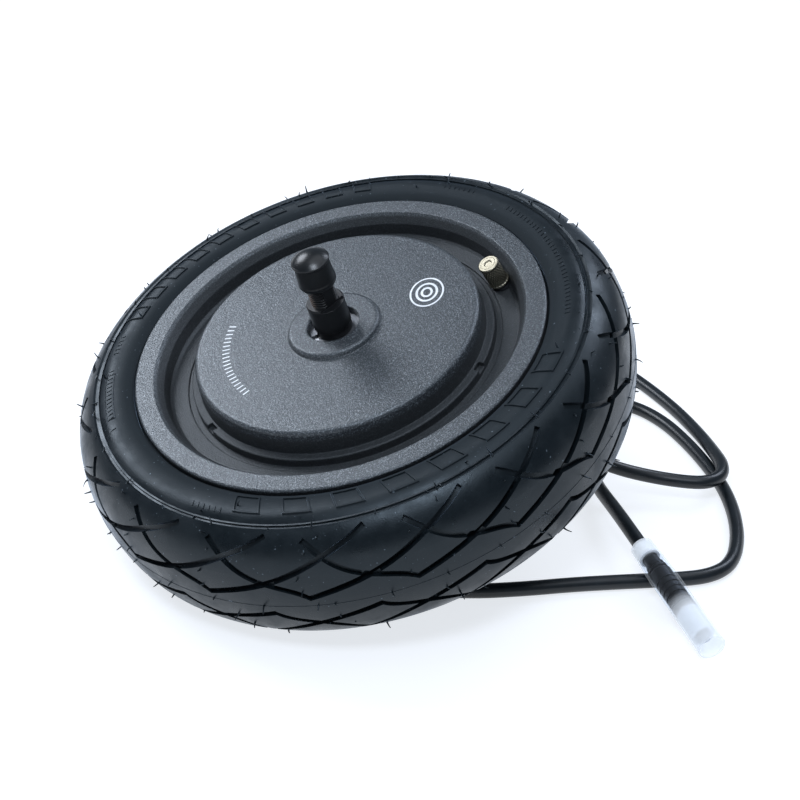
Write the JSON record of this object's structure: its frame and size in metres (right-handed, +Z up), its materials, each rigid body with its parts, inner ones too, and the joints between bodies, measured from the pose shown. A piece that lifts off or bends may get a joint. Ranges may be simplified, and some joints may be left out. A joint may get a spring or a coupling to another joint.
{
  "type": "hub motor wheel",
  "caption": "Tubeless tyre on a cast rim that is also the drum of a gearless hub motor, with a fixed hollow axle, an air valve and a motor cable with a round plug",
  "frame": {"origin": "on the floor, straight below the wheel's centre, with the wheel lying as it rests: on the rear ridge of its tyre and on the lower end of its axle", "axes": "+Z up; the axle lies in the XZ plane and its upper end, the valve's side, leans towards -X; the cable and its plug lie on the floor towards -Y and +X"},
  "size_m": [0.3323, 0.3161, 0.1406],
  "materials": {
    "tyre_rubber": "moulded rubber with a faint sheen",
    "powder_coat": "fine sandy black powder coat on cast aluminium",
    "seal_rubber": "smooth black nitrile rubber",
    "gasket_paper": "grey fibre gasket",
    "zinc_steel": "zinc plated",
    "core_steel": "laminated electrical steel",
    "magnet_nickel": "nickel plated magnets",
    "insulator_plastic": "pale moulded nylon",
    "copper_enamel": "enamelled copper wire",
    "cast_aluminium": "die cast, as made",
    "board_green": "green solder mask",
    "chip_black": "moulded chip package",
    "lead_blue": "coloured wire insulation",
    "bearing_steel": "ground steel",
    "cage_brass": "plain brass",
    "axle_black": "satin black oxide on steel",
    "spring_steel": "bright spring steel",
    "cap_rubber": "soft moulded black cap",
    "valve_nickel": "dull nickel plate, knurled",
    "cable_jacket": "glossy extruded jacket",
    "plug_black": "moulded black plug",
    "plug_pale": "pale moulded shell",
    "pin_gold": "gold plated pins",
    "guard_clear": "soft milky clear sleeve",
    "bush_milky": "milky soft plastic"
  },
  "bodies": {
    "axle": {"axle": "axle_black", "axle_key": "bearing_steel", "stator_hub": "cast_aluminium", "stator_core": "core_steel", "slot_insulators": "insulator_plastic", "windings": "copper_enamel", "hall_board": "board_green", "hall_sensors": "chip_black", "phase_leads": "lead_blue", "lead_bundle": "cable_jacket", "front_spacer": "bearing_steel", "front_circlip": "spring_steel", "front_bearing_inner": "bearing_steel", "rear_bearing_inner": "bearing_steel", "cable_grommet": "cable_jacket", "cable": "cable_jacket", "plug_body": "plug_black", "plug_shell": "plug_pale", "plug_insert": "plug_black", "plug_pins": "pin_gold", "plug_guard": "guard_clear", "guard_bush": "bush_milky"},
    "wheel": {"tyre": "tyre_rubber", "rim_drum": "powder_coat", "front_cover": "powder_coat", "rear_cover": "powder_coat", "front_cover_seal": "seal_rubber", "rear_cover_gasket": "gasket_paper", "cover_screws": "zinc_steel", "flux_ring": "core_steel", "magnets": "magnet_nickel", "front_bearing_outer": "bearing_steel", "rear_bearing_outer": "bearing_steel", "front_bearing_seals": "seal_rubber", "rear_bearing_seals": "seal_rubber", "rear_shaft_seal": "seal_rubber", "valve_grommet": "seal_rubber", "valve_stem": "cage_brass", "valve_core": "cage_brass"},
    "front_ball_set": {"front_bearing_balls": "bearing_steel", "front_bearing_cage": "cage_brass"},
    "rear_ball_set": {"rear_bearing_balls": "bearing_steel", "rear_bearing_cage": "cage_brass"},
    "end_cap": {"axle_cap": "cap_rubber"},
    "dust_cap": {"valve_cap": "valve_nickel"},
    "valve_needle": {"valve_pin": "cage_brass"}
  },
  "joints": [
    {"name": "wheel_spin", "type": "hinge", "parent": "axle", "child": "wheel", "pos_m": [0, 0, 0.0687], "axis": [-0.3534, 0, 0.9355], "continuous": true},
    {"name": "front_balls_roll", "type": "hinge", "parent": "axle", "child": "front_ball_set", "pos_m": [-0.00937, 0, 0.09349], "axis": [-0.3534, 0, 0.9355], "continuous": true},
    {"name": "rear_balls_roll", "type": "hinge", "parent": "axle", "child": "rear_ball_set", "pos_m": [0.00866, 0, 0.04578], "axis": [-0.3534, 0, 0.9355], "continuous": true},
    {"name": "end_cap_pull", "type": "slide", "parent": "axle", "child": "end_cap", "axis": [-0.3534, 0, 0.9355], "range_m": [0, 0.03]},
    {"name": "dust_cap_off", "type": "slide", "parent": "wheel", "child": "dust_cap", "axis": [-0.5426, 0.1235, 0.8309], "range_m": [0, 0.02]},
    {"name": "valve_press", "type": "slide", "parent": "wheel", "child": "valve_needle", "axis": [-0.5426, 0.1235, 0.8309], "range_m": [-0.001, 0], "stiffness_N_per_m": 600, "springref_m": 0.0005}
  ],
  "couplings": [
    {"joint": "front_balls_roll", "follows": "wheel_spin", "ratio": 0.6158},
    {"joint": "rear_balls_roll", "follows": "wheel_spin", "ratio": 0.6}
  ]
}
